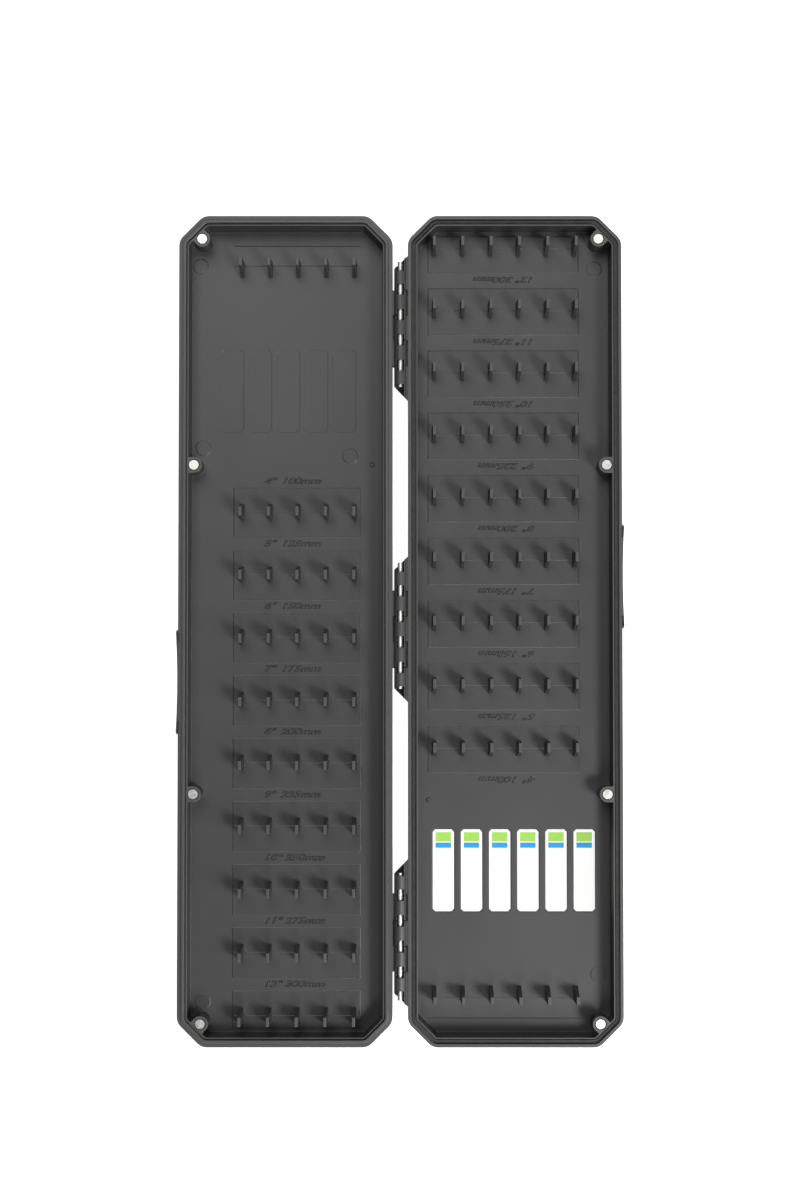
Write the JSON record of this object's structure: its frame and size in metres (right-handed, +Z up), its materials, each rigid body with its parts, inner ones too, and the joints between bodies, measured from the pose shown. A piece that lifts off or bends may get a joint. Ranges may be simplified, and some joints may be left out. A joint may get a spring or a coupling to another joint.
{
  "type": "hooklength box",
  "caption": "Slim hinged tackle case for pre-tied hooklengths: two trays with rows of tall pegs at marked spans, corner and side magnets, a sealed rim and writing labels.",
  "frame": {"origin": "on the hinge line, half way along the case, at the height of the surface the open case lies on", "axes": "+Z up out of the open trays, +Y along the hinge line, +X from the hinge line across the base tray"},
  "size_m": [0.1764, 0.327, 0.0185],
  "materials": {
    "base_shell": "satin dark grey ABS moulding with the pegs in one piece",
    "lid_shell": "satin dark grey ABS moulding with the pegs in one piece",
    "rim_seal": "matt dark silicone rubber cord",
    "hinge_pin": "bright drawn stainless steel wire",
    "magnet": "nickel plated neodymium disc",
    "label": "matt white film label for a pencil note"
  },
  "bodies": {
    "base": {"base_shell": "base_shell", "rim_seal": "rim_seal", "hinge_pin_back": "hinge_pin", "hinge_pin_middle": "hinge_pin", "hinge_pin_front": "hinge_pin", "base_magnet_1": "magnet", "base_magnet_2": "magnet", "base_magnet_3": "magnet", "base_magnet_4": "magnet", "label_1": "label", "label_2": "label", "label_3": "label", "label_4": "label", "label_5": "label", "label_6": "label"},
    "lid": {"lid_shell": "lid_shell", "lid_magnet_1": "magnet", "lid_magnet_2": "magnet", "lid_magnet_3": "magnet", "lid_magnet_4": "magnet"}
  },
  "joints": [
    {"name": "lid_hinge", "type": "hinge", "parent": "base", "child": "lid", "pos_m": [0, 0, 0.01615], "axis": [0, 1, 0], "range_deg": [0, 180]}
  ]
}
